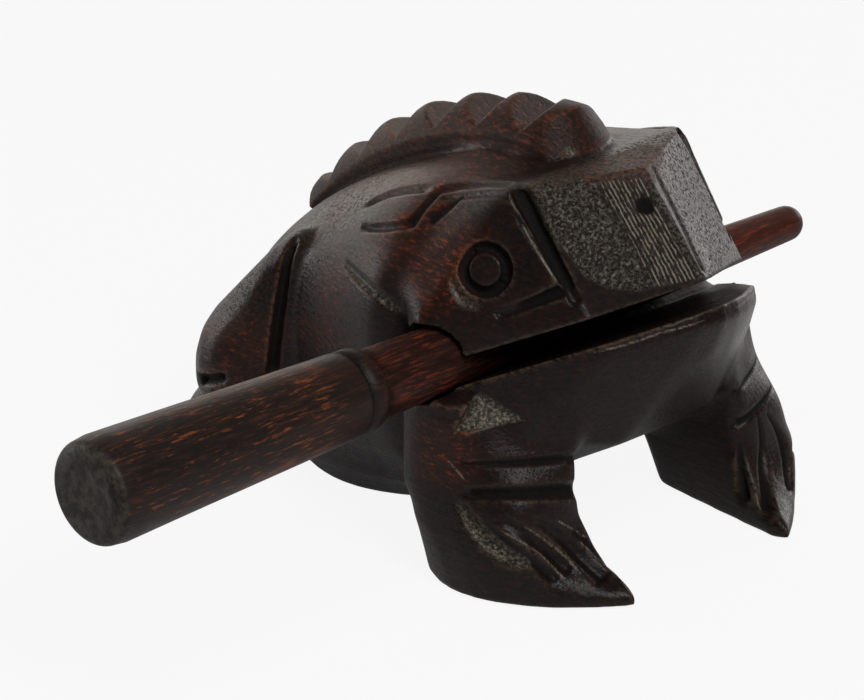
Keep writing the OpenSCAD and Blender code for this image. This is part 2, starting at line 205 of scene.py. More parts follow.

# The line cut along the foot of the ridge, darkened with painted shadow: how far it lies out from the ridge
# and down in the back, its half width and its depth
FOOT_LINE_OUT = 0.2
FOOT_LINE_DOWN = 0.5
FOOT_LINE_HALF = 1.1
FOOT_LINE_DEPTH = 0.8

# A dark nick in the nose and a pale chip beside the first tooth: radius, depth and place
NICK = (1.7, 1.2, (-2.6, 12.7, 57.2))
CHIP = (1.1, 0.15, (-3.7, 27.5, 61.7))

# Where the stain is rubbed thin and the red wood shows: radius and middle
WARM = [
    (10.0, (-23.0, 46.0, 51.0)),
    (9.0, (-27.0, 33.0, 50.0)),
    (13.0, (-30.0, 80.0, 27.0)),
    (7.0, (-32.0, 26.0, 22.0)),
    (16.0, (-14.0, 46.0, 58.0)),
    (18.0, (-15.0, 62.0, 52.0)),
    (13.0, (-26.0, 58.0, 35.0)),
]

# Where the stain is rubbed pale and dusty, with painted sheen on it: radius and middle
DUSTY_SHEEN_SPOTS = [
    (15.0, (-16.0, 66.0, 52.0)),
    (9.0, (-30.0, 78.0, 34.0)),
]

# Zones are lists of edges. An edge names one of the measures below, where it starts and over which width it
# fades in, and a negative width is an upper edge. These are the width of an edge that does not fade, the
# neck's distance behind the lower lip, and how far from the thigh's front its distance is measured.
HARD = 0.001
NECK = 41.0
THIGH_REACH = 6.0

# What is rubbed least, with how crisp it stays: the ridge, the face, the cross hole and the mouth slot
CRISP_ZONES = [
    (1.0, [("ridge", 0, 1.5)]),
    (0.8, [("setback", 27, -3), ("z", 38, 3)]),
    (0.4, [("hole", 1.5, -0.8)]),
    (1.0, [("slot", 1.6, -0.8)]),
]

# What is rubbed most: the neck, the front legs, the flanks and the front of the thighs
SOFT_ZONES = [
    [("neck", 13, -13), ("z", 39, 5)],
    [("off", 13, 3), ("setback", 36, -4), ("z", 9, 3), ("z", 31, -3)],
    [("setback", 37, 3), ("setback", 66, -3), ("z", 12, 4), ("off", 12, 3)],
    [("thigh", 5.4, -3)],
]

# Rounds of rubbing, each on top of the one before: for all, for what is not crisp, and for what is soft
CRISP_ROUNDS = 2
PLAIN_ROUNDS = 16
SOFT_ROUNDS = 110

# The right half of the nose, the rasped part of it, its left half and its top
NOSE_RIGHT = [
    ("setback", 24.5, -1.5),
    ("x", 0.4, -0.6),
    ("x", -16.4, 0.6),
    ("z", 60.9, -0.7),
    ("z", 44, HARD),
]
NOSE_RASPED = [("x", -0.6, -0.8), ("x", -8.5, 2.5)]
NOSE_LEFT = [("setback", 24.5, -1.5), ("x", 0.6, 0.8), ("z", 46, HARD)]
NOSE_TOP = [("z", 59.6, 1.0), ("setback", 27, -3)]

# Degrees along the ridge between which its foot lines run, and where the teeth end
FOOT_LINE_SPAN = [("angle", 4, 6), ("angle", 52, -3)]
RIDGE_END = 54

# How much the ridge is worn red and dull
RIDGE_WEAR = 0.6

# Rubbing after the carving, and the bulges and hollows that count as edges and as corners darkened with
# painted shade
LAST_RUB = 0.4
BULGE_ROUNDS = 14
BULGE_FROM = 0.06
EDGE_BULGE = 0.25
HOLLOW_SHADE_BULGE = 0.4

# The turned stick: groove and rounded edges, along it from its striking end
STICK_GROOVE = STICK_GRIP_L - 3.4
GROOVE_HALF = 0.8
STICK_RIM = 1.5
RIM_SINK = 0.35
SHOULDER_R = 1.4
STICK_SIDES = 96

# What the stick is shorter by than the CAD stick, so that rounding keeps it inside, and how uneven it is
STICK_SPARE = 0.01
WOBBLE = 0.004

# Where along the stick its wear starts, and the width over which it fades in; toward the tip the wood is
# redder, and lighter as painted light
STICK_WEAR = {"neck": (STICK_GRIP_L - 4, 4), "end": (1.6, -1.4), "tip": (105, 25)}

# The darker band about the end of the grip: its middle, how far it reaches and how it fades
BAND_AT = STICK_GRIP_L - 5
BAND_REACH = 9.9
BAND_FADE = 9


def spot(place, side=1):
    """The model's point, in millimetres, at a place on the frog's right, or on its left for side -1."""
    x, setback, z = place
    return np.array([side * x, setback - FROG_L / 2, z])


def smooth_step(t):
    """0 below 0, 1 above 1, and an even slope between."""
    t = np.clip(t, 0, 1)
    return t * t * (3 - 2 * t)


def unit(vector):
    """The vector's direction, one long."""
    return vector / np.linalg.norm(vector)


# Mesh tools

def add_object(name, data):
    """A new object in the scene."""
    holder = bpy.data.objects.new(name, data)
    bpy.context.scene.collection.objects.link(holder)
    return holder


def shade_smooth(mesh):
    """Hides the edges between the mesh's faces."""
    mesh.polygons.foreach_set("use_smooth", np.ones(len(mesh.polygons), bool))


def fine_copy(node, name):
    """A new object with the node's surface rebuilt from small, even faces that keep its edges."""
    source = add_object("fine_source", node.data.copy())
    remesh = source.modifiers.new("cells", "REMESH")
    remesh.mode = "SHARP"
    remesh.octree_depth = 8
    remesh.scale = 0.95
    remesh.use_remove_disconnected = False
    evaluated = source.evaluated_get(bpy.context.evaluated_depsgraph_get())
    mesh = bpy.data.meshes.new_from_object(evaluated)
    bpy.data.objects.remove(source)
    mesh.materials.clear()
    return add_object(name, mesh)


def get_points(mesh):
    """The mesh's points, in millimetres."""
    flat = np.empty(len(mesh.vertices) * 3)
    mesh.vertices.foreach_get("co", flat)
    return flat.reshape(-1, 3) / MM


def set_points(mesh, points):
    """Moves the mesh's points, given in millimetres."""
    mesh.vertices.foreach_set("co", (points * MM).ravel())
    mesh.update()


def get_normals(mesh):
    """The outward direction at each point."""
    flat = np.empty(len(mesh.vertices) * 3)
    mesh.vertex_normals.foreach_get("vector", flat)
    return flat.reshape(-1, 3)


def get_edges(mesh):
    """Pairs of neighbouring points."""
    flat = np.empty(len(mesh.edges) * 2, np.int32)
    mesh.edges.foreach_get("vertices", flat)
    return flat.reshape(-1, 2)


def relax(points, edges, rounds, share=0.6):
    """Evens the surface out, so that edges look rubbed."""
    count = len(points)
    degree = np.bincount(edges.ravel(), minlength=count)[:, None]
    for _ in range(rounds):
        total = np.stack([
            np.bincount(edges[:, 0], points[edges[:, 1], axis], count)
            + np.bincount(edges[:, 1], points[edges[:, 0], axis], count)
            for axis in range(3)
        ], axis=1)
        points = points + share * (total / degree - points)
    return points


def surface_tree(points):
    """A search tree of the surface's points."""
    tree = KDTree(len(points))
    for index, point in enumerate(points):
        tree.insert(point, index)
    tree.balance()
    return tree


def drawn(places, side, tree):
    """The path through the places, drawn on the surface in steps of about a millimetre."""
    corners = [spot(place, side) for place in places]
    path = []
    for a, b in zip(corners, corners[1:]):
        for t in np.linspace(0, 1, max(1, round(np.linalg.norm(b - a))), endpoint=False):
            path.append(np.array(tree.find(a + t * (b - a))[0]))
    path.append(np.array(tree.find(corners[-1])[0]))
    for _ in range(3):
        path[1:-1] = [(a + b + c) / 3 for a, b, c in zip(path, path[1:], path[2:])]
    steps = [np.linalg.norm(b - a) for a, b in zip(path, path[1:])]
    return [path[0]] + [point for point, step in zip(path[1:], steps) if step > 0.1]


def path_distance(points, path, reach=4.0):
    """Distances of the points within reach of a path, and how far along it their nearest places lie."""
    low = np.min(path, axis=0) - reach
    high = np.max(path, axis=0) + reach
    near = np.all((points > low) & (points < high), axis=1)
    close = points[near]
    lengths = [np.linalg.norm(b - a) for a, b in zip(path, path[1:])]
    best = np.full(len(close), np.inf)
    share = np.zeros(len(close))
    before = 0.0
    for a, b, length in zip(path, path[1:], lengths):
        t = np.clip((close - a) @ (b - a) / length**2, 0, 1)
        away = np.linalg.norm(close - (a + t[:, None] * (b - a)), axis=1)
        nearer = away < best
        best = np.where(nearer, away, best)
        share = np.where(nearer, (before + t * length) / sum(lengths), share)
        before += length
    distance = np.full(len(points), np.inf)
    along = np.zeros(len(points))
    distance[near] = best
    along[near] = share
    return distance, along


def arc_place(points, arc):
    """The radius of each point about an arc of the back, and its angle from the top in degrees."""
    setback, z, _ = arc
    across = points[:, 1] + FROG_L / 2 - setback
    up = points[:, 2] - z
    return np.hypot(across, up), np.degrees(np.arctan2(across, up))


# The carved frog

def measure(points):
    """What the zones' edges are measured by, for each point."""
    x, y, z = points.T
    off = np.abs(x)
    setback = y + FROG_L / 2
    radius, _ = arc_place(points, CREST_ARC)
    slot_z = SLOT_Z - math.tan(math.radians(SLOT_TILT)) * setback
    thighs = [[spot(place, side) for place in THIGH_FRONT] for side in (1, -1)]
    return {
        "x": x,
        "off": off,
        "setback": setback,
        "z": z,
        "neck": np.abs(setback - NECK),
        "thigh": np.min([path_distance(points, thigh, THIGH_REACH)[0] for thigh in thighs], axis=0),
        "hole": np.hypot(setback - HOLE[0], z - HOLE[1]) - HOLE[2],
        "slot": np.where(setback < HOLE[0], np.abs(z - slot_z) - SLOT_H / 2, np.inf),
        "ridge": np.where(off < RIDGE_HALF + 1, radius - CREST_ARC[2] + RIDGE_H, -np.inf),
    }


def zone_share(measures, zone):
    """1 inside all the edges of a zone, and 0 outside them."""
    return np.prod([smooth_step((measures[name] - start) / width) for name, start, width in zone], axis=0)


def rub(points, edges):
    """Rubs the block smooth, the soft zones most and the crisp zones least."""
    measures = measure(points)
    crisp = np.max([share * zone_share(measures, zone) for share, zone in CRISP_ZONES], axis=0)[:, None]
    soft = np.max([zone_share(measures, zone) for zone in SOFT_ZONES], axis=0)[:, None] * (1 - crisp)
    little = relax(points, edges, CRISP_ROUNDS)
    more = relax(little, edges, PLAIN_ROUNDS)
    most = relax(more, edges, SOFT_ROUNDS)
    return crisp * little + (1 - crisp - soft) * more + soft * most


def fade(along, rate, start=0.0):
    """1 along a path, and less near both its ends."""
    return smooth_step(np.minimum(along, 1 - along) * rate + start)


def carve_lines(points):
    """Depths of the cuts, their painted shade, bare wood with painted glints, and each point's distance from
    a pale line.
    """
    tree = surface_tree(points)
    depth, cut, bare_glint = np.zeros((3, len(points)))
    crest = np.full(len(points), CREST_REACH)
    right = (1, CUTS + RIGHT_WRIST, BROWS + RIGHT_TOES, CRESTS + RIGHT_CRESTS)
    left = (-1, CUTS + LEFT_WRIST + LEFT_TOES, BROWS, CRESTS)
    for side, dark, soft, crests in (right, left):
        shaded = [(1.0, line) for line in dark] + [(SOFT_SHADE, line) for line in soft]
        for shade, (start, end, deep, places) in shaded:
            distance, along = path_distance(points, drawn(places, side, tree))
            half_width = start + (end - start) * along
            here = np.clip(1 - distance / half_width, 0, 1) * fade(along, CUT_FADE, CUT_START)
            depth = np.maximum(depth, deep * here * half_width / max(start, end))
            # Painted shade fills the cut
            cut = np.maximum(cut, shade * smooth_step(here * SHADE_FILL))
        for half_width, deep, bright, places in SCOOPS:
            distance, along = path_distance(points, drawn(places, side, tree))
            taper = np.sqrt(np.clip(4 * along * (1 - along), 0, 1))
            width = half_width * (SCOOP_END + (1 - SCOOP_END) * taper)
            here = np.clip(1 - (distance / width) ** 2, 0, 1)
            depth = np.maximum(depth, deep * here * taper)
            # Bare wood that takes painted glints
            bare_glint = np.maximum(bare_glint, bright * smooth_step(here * SHADE_FILL) * taper)
        for places in crests:
            distance, along = path_distance(points, drawn(places, side, tree))
            crest = np.minimum(crest, distance + CREST_END * (1 - fade(along, LINE_FADE)))
        half_width, height, places = SWELLING
        distance, _ = path_distance(points, drawn(places, side, tree))
        depth = depth - height * smooth_step(1 - distance / half_width)
        for half_width, deep, places in CREASES:
            distance, along = path_distance(points, drawn(places, side, tree))
            here = smooth_step(1 - distance / half_width) * fade(along, LINE_FADE)
            depth = depth + deep * here
            # Painted shade in the crease
            cut = np.maximum(cut, CREASE_SHADE * here)
    half_width, deep, places = KEEL_LINE
    distance, _ = path_distance(points, drawn(places, 1, tree))
    here = np.clip(1 - distance / half_width, 0, 1)
    return np.maximum(depth, deep * here), np.maximum(cut, KEEL_SHADE * here), bare_glint, crest


def carve_spots(points, depth, cut, bare_glint):
    """Adds the nick in the nose and the chip beside the first tooth."""
    for (radius, deep, place), mark in ((NICK, cut), (CHIP, bare_glint)):
        here = np.clip(1 - np.linalg.norm(points - spot(place), axis=1) / radius, 0, 1)
        np.maximum(depth, deep * here, out=depth)
        np.maximum(mark, smooth_step(here * 2), out=mark)


def carve_eyes(points, depth, cut):
    """Deepens the ring groove of each eye, paints shade in it, and domes the pupil inside it."""
    ring_r = (EYE_R + PUPIL_R) / 2
    ring_half = (EYE_R - PUPIL_R) / 2 + RING_SPARE
    for side in (1, -1):
        axis = unit(np.array([side * EYE_NORMAL[0], EYE_NORMAL[1], EYE_NORMAL[2]]))
        offset = points - spot(EYE, side)
        away = offset @ axis
        radius = np.linalg.norm(offset - away[:, None] * axis, axis=1)
        near = np.abs(away) < EYE_REACH
        groove = near * smooth_step((ring_half - np.abs(radius - ring_r)) / RING_EDGE)
        dome = near * np.clip(1 - (radius / PUPIL_R) ** 2, 0, 1)
        depth += RING_DEPTH * groove - PUPIL_DOME * dome
        np.maximum(cut, groove, out=cut)


def cut_facets(points, bare_glint):
    """Slices the shoulder flat on both sides, and leaves the cut bare, with painted glints."""
    for side in (1, -1):
        a, b, c = (spot(place, side) for place in FACET)
        middle = (a + b + c) / 3
        normal = unit(np.cross(b - a, c - a))
        if normal[1] > 0:
            normal = -normal
        inside = np.full(len(points), np.inf)
        for p, q in ((a, b), (b, c), (c, a)):
            inward = unit(np.cross(normal, q - p))
            inward *= np.sign(inward @ (middle - p))
            inside = np.minimum(inside, (points - p) @ inward)
        height = (points - middle) @ normal
        share = smooth_step(inside / FACET_EDGE + 0.5) * (np.abs(height) < FACET_REACH)
        lift = np.maximum(height + FACET_SINK, 0)
        points = points - normal * (lift * share)[:, None]
        bare_glint = np.maximum(bare_glint, share)
    return points, bare_glint


def undercut_ridge(points, depth, cut):
    """Cuts a line along both feet of the ridge, where it stands on the back, and paints shadow in it."""
    radius, _ = arc_place(points, BACK_ARC)
    _, angle = arc_place(points, CREST_ARC)
    outward = np.abs(points[:, 0]) - RIDGE_HALF - FOOT_LINE_OUT
    distance = np.hypot(outward, radius - BACK_ARC[2] + FOOT_LINE_DOWN)
    here = np.clip(1 - distance / FOOT_LINE_HALF, 0, 1) * zone_share({"angle": angle}, FOOT_LINE_SPAN)
    np.maximum(depth, FOOT_LINE_DEPTH * here, out=depth)
    np.maximum(cut, here, out=cut)


def store(mesh, name, values):
    """Keeps one number per point for the material to read."""
    attribute = mesh.attributes.new(name, "FLOAT", "POINT")
    attribute.data.foreach_set("value", values.astype(np.float32))


def nose_shares(measures):
    """Where the nose's right half is pebbled, where the rasp's lines show on it, and where it is dull."""
    half = zone_share(measures, NOSE_RIGHT)
    edge_z = np.interp(measures["x"], *zip(*NOSE_EDGE))
    above = smooth_step((measures["z"] - edge_z) / NOSE_EDGE_FADE)
    pebbled = half * above
    return pebbled, pebbled * zone_share(measures, NOSE_RASPED), half * (1 - above)


def around(points, spots):
    """How near each point is to the middle of a spot, on either side of the frog."""
    total = np.zeros(len(points))
    for side in (1, -1):
        for radius, place in spots:
            distance = np.linalg.norm(points - spot(place, side), axis=1)
            total = np.maximum(total, smooth_step(1.3 - distance / radius))
    return total


def ridge_share(points, measures):
    """1 on the toothed ridge, and 0 elsewhere."""
    _, angle = arc_place(points, CREST_ARC)
    return ((measures["ridge"] > 0) & (angle < RIDGE_END)).astype(float)


def dust_and_sheen(points, measures):
    """Where the stain is rubbed pale with painted sheen: the nose's left half and top, the back and the
    thighs.
    """
    nose = [zone_share(measures, zone) for zone in (NOSE_LEFT, NOSE_TOP)]
    return np.max([*nose, around(points, DUSTY_SHEEN_SPOTS)], axis=0)


def make_frog(node):
    """The carved frog, which stands for the CAD solid."""
    piece = fine_copy(node, "frog_carving")
    mesh = piece.data
    edges = get_edges(mesh)
    points = rub(get_points(mesh), edges)
    depth, cut, bare_glint, crest = carve_lines(points)
    carve_spots(points, depth, cut, bare_glint)
    carve_eyes(points, depth, cut)
    undercut_ridge(points, depth, cut)
    set_points(mesh, points)
    points, bare_glint = cut_facets(points - get_normals(mesh) * depth[:, None], bare_glint)
    points = relax(points, edges, 1, LAST_RUB)
    points[:, 2] = np.maximum(points[:, 2], 0)
    set_points(mesh, points)
    bulge = np.einsum("ij,ij->i", points - relax(points, edges, BULGE_ROUNDS), get_normals(mesh))
    measures = measure(points)
    pebbled, rasped, dull = nose_shares(measures)
    ridge = RIDGE_WEAR * ridge_share(points, measures)
    off_eyes = 1 - around(points, [(EYE_R, EYE)])
    shares = {
        "cut": cut,
        "bare_glint": bare_glint,
        "crest": crest,
        "edge": smooth_step((bulge - BULGE_FROM) / EDGE_BULGE) * off_eyes,
        "dusty_sheen": dust_and_sheen(points, measures),
        # Hollows take painted shade
        "hollow": smooth_step((-bulge - BULGE_FROM) / HOLLOW_SHADE_BULGE),
        "pebble": pebbled * (1 - cut),
        "rasp": rasped * (1 - cut),
        "dull": np.maximum(dull, ridge),
        "warm": np.maximum(around(points, WARM), ridge) * off_eyes,
    }
    for name, values in shares.items():
        store(mesh, name, values)
    shade_smooth(mesh)
    return piece


# The turned stick

def stick_outline(length):
    """Distances along the stick from its striking end, with the radius at each."""
    head = STICK_HEAD_D / 2
    grip = STICK_GRIP_D / 2
    neck = STICK_NECK_D / 2
    tip = STICK_TIP_D / 2
    rim = STICK_RIM
    taper_end = length - tip

    def grip_r(s):
        """The grip's radius, which shrinks evenly from the striking end."""
        return head + (grip - head) * s / STICK_GRIP_L

    # The striking end is a little hollow, with a rounded rim
    outline = [(0.3, 0.0), (0.22, head * 0.3), (0.1, head * 0.55), (0.0, head - rim)]
    for a in np.radians(np.linspace(-75, 0, 9)):
        outline.append((rim + rim * math.sin(a), head - rim + rim * math.cos(a) - RIM_SINK))
    # The grip, with the groove near its end
    outline += [(s, grip_r(s)) for s in np.linspace(rim + 2, STICK_GROOVE - 1.0, 26)]
    for step, sink in ((-0.5, 0.05), (-0.2, 0.4), (0, 0.5), (0.2, 0.4), (0.5, 0.05)):
        outline.append((STICK_GROOVE + step, grip_r(STICK_GROOVE) - sink))
    # The rounded shoulder, the tapering neck and the round tip
    for a in np.radians(np.linspace(10, 90, 7)):
        s = STICK_GRIP_L - SHOULDER_R + SHOULDER_R * math.sin(a)
        outline.append((s, neck + (grip - neck) * math.cos(a)))
    for s in np.linspace(STICK_GRIP_L + 2, taper_end, 40):
        outline.append((s, neck + (tip - neck) * (s - STICK_GRIP_L) / (taper_end - STICK_GRIP_L)))
    for a in np.radians(np.linspace(12, 90, 7)):
        outline.append((taper_end + tip * math.sin(a), tip * math.cos(a)))
    return outline


def make_stick(low, high):
    """The stick, turned on a lathe between the CAD stick's two ends."""
    sides = STICK_SIDES
    start = low / MM
    middle = (low + high) / 2 / MM
    first, *inner, last = stick_outline((high.x - low.x) / MM - STICK_SPARE)
    turns = np.linspace(0, 2 * math.pi, sides, endpoint=False)
    rings = []
    for s, radius in inner:
        uneven = radius * (1 - WOBBLE * (1 + np.sin(3 * turns + 0.11 * s)))
        ring = np.stack([
            np.full(sides, start.x + s),
            middle.y + uneven * np.cos(turns),
            middle.z + uneven * np.sin(turns),
        ], axis=1)
        rings.append(ring)
    poles = [(start.x + s, middle.y, middle.z) for s, _ in (first, last)]
    pole = len(inner) * sides
    top = pole - sides
    faces = []
    for k in range(sides):
        after = (k + 1) % sides
        for r in range(0, top, sides):
            faces.append((r + k, r + after, r + sides + after, r + sides + k))
        faces.append((pole, after, k))
        faces.append((pole + 1, top + k, top + after))
    mesh = bpy.data.meshes.new("stick_turned")
    mesh.from_pydata((np.concatenate([*rings, poles]) * MM).tolist(), [], faces)
    along = np.append(np.repeat([s for s, _ in inner], sides), [first[0], last[0]])
    for name, (begin, width) in STICK_WEAR.items():
        store(mesh, name, smooth_step((along - begin) / width))
    store(mesh, "shoulder", smooth_step((BAND_REACH - np.abs(along - BAND_AT)) / BAND_FADE))
    store(mesh, "cut", np.clip(1 - np.abs(along - STICK_GROOVE) / GROOVE_HALF, 0, 1))
    shade_smooth(mesh)
    return add_object("stick_turned", mesh)


# Colours of the frog, as linear red, green and blue
STAIN = (0.0070, 0.0058, 0.0052)
STAIN_BROWN = (0.0112, 0.0078, 0.0067)
RED_UNDER = (0.028, 0.0092, 0.0058)
RED_GRAIN = (0.046, 0.0160, 0.0098)
RED_FLECK = (0.21, 0.038, 0.012)
WORN_BROWN = (0.090, 0.060, 0.040)
WORN_RED = (0.26, 0.080, 0.026)
# Dark of the pores, and of the painted shade in the cuts and hollows
PORE_AND_SHADE_DARK = (0.0040, 0.0037, 0.0035)
BARE_DARK = (0.024, 0.021, 0.017)
# Glints painted on bare wood
BARE_GLINT = (0.36, 0.30, 0.22)
# Pale dust, with painted sheen
DUST_AND_SHEEN = (0.095, 0.074, 0.054)
# Pale wear with painted highlight along the crests
CREST_WEAR_AND_HIGHLIGHT = (0.24, 0.20, 0.15)
# Rubbed grains and rasp lines of the nose, pale with painted glints
PEBBLE_GLINT = (0.112, 0.098, 0.078)
RASP_GLINT = (0.26, 0.23, 0.18)

# Colours of the stick
STICK_STAIN = (0.0155, 0.0110, 0.0094)
STICK_BROWN = (0.030, 0.0155, 0.0115)
NECK_STAIN = (0.020, 0.0070, 0.0052)
# Redder wood at the tip, lightened as painted light
TIP_RED_AND_LIT = (0.052, 0.0135, 0.0080)
STICK_GRAIN = (0.060, 0.020, 0.0120)
STREAK_ORANGE = (0.28, 0.074, 0.024)
STREAK_RED = (0.20, 0.030, 0.010)
END_DARK = (0.012, 0.0105, 0.0090)
END_PALE = (0.066, 0.056, 0.043)
BAND_DARK = (0.0125, 0.0100, 0.0088)
# Painted shade in the stick's groove
GROOVE_SHADE = (0.006, 0.005, 0.0045)

# How strongly the stained wood mirrors
WOOD_SPECULAR = 0.22

# The floor's grey, and how white it looks to the camera and in reflections
FLOOR_GREY = (0.66, 0.66, 0.66, 1)
FLOOR_SEEN = 0.90
FLOOR_MIRRORED = 0.15

# Half the floor's width, in metres
FLOOR_HALF = 3.0

# The room: its colour, its level away from the wall and on it, and the way to the wall
ROOM_COLOUR = (1.0, 0.95, 0.89, 1)
ROOM_LEVEL = 0.07
WALL_LEVEL = 2.1
WALL_WAY = (0.42, 0.91, 0.0)

# The share of the wall's level that is left above it
OVER_WALL = 0.22

# Lamps: name, place and size in metres, power in watts, and whether the sheen shows them
LAMPS = [
    ("front_box", (-0.22, -0.72, 0.80), 0.5, 5, True),
    ("side_light", (0.95, 0.10, 0.20), 0.4, 1.5, True),
    ("rear_light", (-0.50, 0.95, 0.16), 0.3, 1.2, True),
    ("fill", (-0.20, -0.30, 1.1), 0.8, 3.5, False),
]
LAMP_AIM = (0, 0, 0.03)

# The photograph's camera: picture width and focal length in pixels, the point it aims at in millimetres, its
# direction in degrees and its distance in metres
PHOTO_W = 864
FOCAL_PX = 6500
SENSOR_W = 36
CAMERA_AIM = (-10, 3.06, 24.0)
CAMERA_AZIMUTH = -44
CAMERA_ELEVATION = 23.7
CAMERA_AWAY = 0.998


# Materials

class Nodes:
    """Short ways to add and join the shader nodes of a material or a world."""

    def __init__(self, owner):
        owner.use_nodes = True
        self.owner = owner
        self.tree = owner.node_tree
        self.shader = self.tree.nodes.get("Principled BSDF") or self.tree.nodes["Background"]

    def add(self, kind, **settings):
        """A new node with the settings."""
        node = self.tree.nodes.new(kind)
        for key, value in settings.items():
            setattr(node, key, value)
        return node

    def join(self, source, target):
        """Links an output to an input."""
        self.tree.links.new(source, target)

    def attribute(self, name):
        """The number that the mesh keeps under the name."""
        return self.add("ShaderNodeAttribute", attribute_name=name).outputs["Fac"]

    def noise(self, stretch, detail=3.0, rough=0.55, offset=(0, 0, 0)):
        """Noise with features about 1 / stretch metres long in each direction."""
        coords = self.add("ShaderNodeTexCoord")
        mapping = self.add("ShaderNodeMapping")
        mapping.inputs["Scale"].default_value = stretch
        mapping.inputs["Location"].default_value = offset
        noise = self.add("ShaderNodeTexNoise")
        noise.inputs["Scale"].default_value = 1
        noise.inputs["Detail"].default_value = detail
        noise.inputs["Roughness"].default_value = rough
        self.join(coords.outputs["Object"], mapping.inputs["Vector"])
        self.join(mapping.outputs["Vector"], noise.inputs["Vector"])
        return noise.outputs["Fac"]

    def ramp(self, value, low, high):
        """0 where the value is under low, 1 where it is over high."""
        node = self.add("ShaderNodeMapRange", interpolation_type="SMOOTHSTEP")
        node.inputs["From Min"].default_value = low
        node.inputs["From Max"].default_value = high
        self.join(value, node.inputs["Value"])
        return node.outputs["Result"]

    def blend(self, share, a, b):
        """A number that goes from a to b with the share."""
        node = self.add("ShaderNodeMapRange")
        node.inputs["To Min"].default_value = a
        node.inputs["To Max"].default_value = b
        self.join(share, node.inputs["Value"])
        return node.outputs["Result"]

    def math(self, operation, a, b):
        """The result of an operation on two sockets or numbers."""
        node = self.add("ShaderNodeMath", operation=operation)
        for socket, value in zip(node.inputs, (a, b)):
            if isinstance(value, (int, float)):
                socket.default_value = value
            else:
                self.join(value, socket)
        return node.outputs["Value"]

    def mix(self, share, a, b):
        """Colour a turning into colour b as the share goes from 0 to 1."""
        node = self.add("ShaderNodeMix", data_type="RGBA")
        self.join(share, node.inputs["Factor"])
        for socket, value in zip((node.inputs[6], node.inputs[7]), (a, b)):
            if isinstance(value, tuple):
                socket.default_value = (*value, 1)
            else:
                self.join(value, socket)
        return node.outputs[2]

    def bump(self, height, distance_mm, before=None):
        """Relief of the height on top of the relief before it."""
        node = self.add("ShaderNodeBump")
        node.inputs["Distance"].default_value = distance_mm * MM
        node.inputs["Strength"].default_value = 1
        self.join(height, node.inputs["Height"])
        if before is not None:
            self.join(before, node.inputs["Normal"])
        return node.outputs["Normal"]


def frog_wood():
    """Dark stain over red wood, rubbed thin on the edges, darkest in the cuts by painted shade, with painted
    sheen and glints.
    """
    n = Nodes(bpy.data.materials.new("frog_wood"))
    broad = n.noise((60, 40, 60), 2)
    grain = n.noise((1500, 210, 1500), 4)
    fleck = n.noise((1700, 600, 1700), 3, 0.6, (3, 1, 2))
    speckle = n.noise((2100, 1500, 2100), 4, 0.75, (7, 2, 5))
    pores = n.noise((3600, 1500, 3600), 3, 0.7, (4, 6, 1))
    warm = n.math("MULTIPLY", n.attribute("warm"), n.ramp(broad, 0.30, 0.62))
    colour = n.mix(n.ramp(broad, 0.35, 0.70), STAIN, STAIN_BROWN)
    colour = n.mix(warm, colour, RED_UNDER)
    streak = n.math("MULTIPLY", n.ramp(grain, 0.42, 0.66), n.math("MAXIMUM", warm, 0.22))
    colour = n.mix(streak, colour, RED_GRAIN)
    red = n.math("MULTIPLY", n.ramp(fleck, 0.50, 0.72), n.math("MAXIMUM", warm, 0.10))
    colour = n.mix(red, colour, RED_FLECK)
    worn = n.math("MULTIPLY", n.attribute("edge"), n.ramp(fleck, 0.35, 0.56))
    worn_colour = n.mix(n.attribute("warm"), WORN_BROWN, WORN_RED)
    colour = n.mix(n.math("MULTIPLY", worn, 0.75), colour, worn_colour)
    pits = n.ramp(pores, 0.58, 0.70)
    colour = n.mix(n.math("MULTIPLY", pits, 0.6), colour, PORE_AND_SHADE_DARK)
    # Bare wood, speckled with painted glints
    pale = n.mix(n.ramp(speckle, 0.42, 0.78), BARE_DARK, BARE_GLINT)
    colour = n.mix(n.attribute("bare_glint"), colour, pale)
    # Painted shade in the cuts and hollows
    dark = n.math("MAXIMUM", n.attribute("cut"), n.attribute("hollow"))
    colour = n.mix(n.math("MULTIPLY", dark, 0.85), colour, PORE_AND_SHADE_DARK)
    # Dust and painted sheen
    dusty_sheen = n.math("MULTIPLY", n.attribute("dusty_sheen"), n.ramp(speckle, 0.40, 0.64))
    colour = n.mix(n.math("MULTIPLY", dusty_sheen, 0.7), colour, DUST_AND_SHEEN)
    colour = nose_colour(n, colour)
    # Pale lines of wear and painted highlight along the crests
    line = n.math("MULTIPLY", n.ramp(n.attribute("crest"), 0.28, 0.06), n.ramp(fleck, 0.34, 0.52))
    colour = n.mix(n.math("MULTIPLY", line, 0.7), colour, CREST_WEAR_AND_HIGHLIGHT)
    n.join(colour, n.shader.inputs["Base Color"])
    rough = n.blend(n.ramp(broad, 0.3, 0.7), 0.25, 0.35)
    dull = n.math("MAXIMUM", dark, n.attribute("dull"))
    matt = n.math("MULTIPLY", n.math("MAXIMUM", dull, pits), 0.85)
    open_grain = n.math("MULTIPLY", n.ramp(speckle, 0.54, 0.40), 0.75)
    matt = n.math("MAXIMUM", matt, n.math("MULTIPLY", open_grain, n.attribute("dusty_sheen")))
    n.join(n.math("MAXIMUM", rough, matt), n.shader.inputs["Roughness"])
    n.shader.inputs["Specular IOR Level"].default_value = WOOD_SPECULAR
    normal = n.bump(grain, 0.10)
    normal = n.bump(n.math("SUBTRACT", speckle, pits), 0.05, normal)
    n.join(nose_marks(n, normal), n.shader.inputs["Normal"])
    return n.owner


